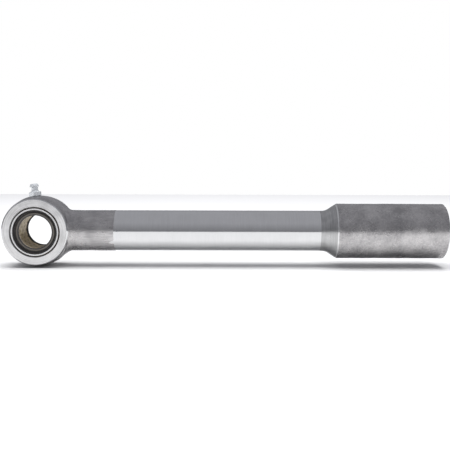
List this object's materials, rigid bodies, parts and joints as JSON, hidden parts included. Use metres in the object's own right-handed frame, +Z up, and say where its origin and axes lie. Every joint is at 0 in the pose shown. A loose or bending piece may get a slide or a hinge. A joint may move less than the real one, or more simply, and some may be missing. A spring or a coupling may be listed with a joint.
{
  "type": "tie rod end",
  "caption": "Forged tie rod end with a sealed, bushed eye, a grease nipple, a ground round shank and an internally threaded socket.",
  "frame": {"origin": "centre of the eye bore, midway between the eye's two faces", "axes": "+X along the rod towards the socket's mouth, +Y along the eye bore towards the rear face, +Z up, on the grease nipple's side"},
  "size_m": [0.3261, 0.0402, 0.0609],
  "materials": {
    "forged_steel": "shot-blasted forging skin, ground bright on the shank and faced on the eye",
    "bush_steel": "tinned steel backing, butt joint",
    "bush_lining": "olive-bronze sliding layer with grease pockets",
    "seal_case": "drawn sheet steel, satin",
    "seal_rubber": "black nitrile rubber, slightly oily",
    "zinc_plate": "zinc plated, turned",
    "ball_steel": "polished ball",
    "spring_steel": "drawn wire"
  },
  "bodies": {
    "rod": {"rod_forging": "forged_steel", "bush_backing": "bush_steel", "bush_lining": "bush_lining", "front_seal_case": "seal_case", "front_seal_lip": "seal_rubber", "rear_seal_case": "seal_case", "rear_seal_lip": "seal_rubber", "nipple_body": "zinc_plate", "nipple_spring": "spring_steel"},
    "check_ball": {"nipple_ball": "ball_steel"}
  },
  "joints": [
    {"name": "check_ball_lift", "type": "slide", "parent": "rod", "child": "check_ball", "axis": [0.1045, 0, -0.9945], "range_m": [0, 0.001], "stiffness_N_per_m": 200, "springref_m": -0.0015, "deforming": ["nipple_spring"]}
  ]
}
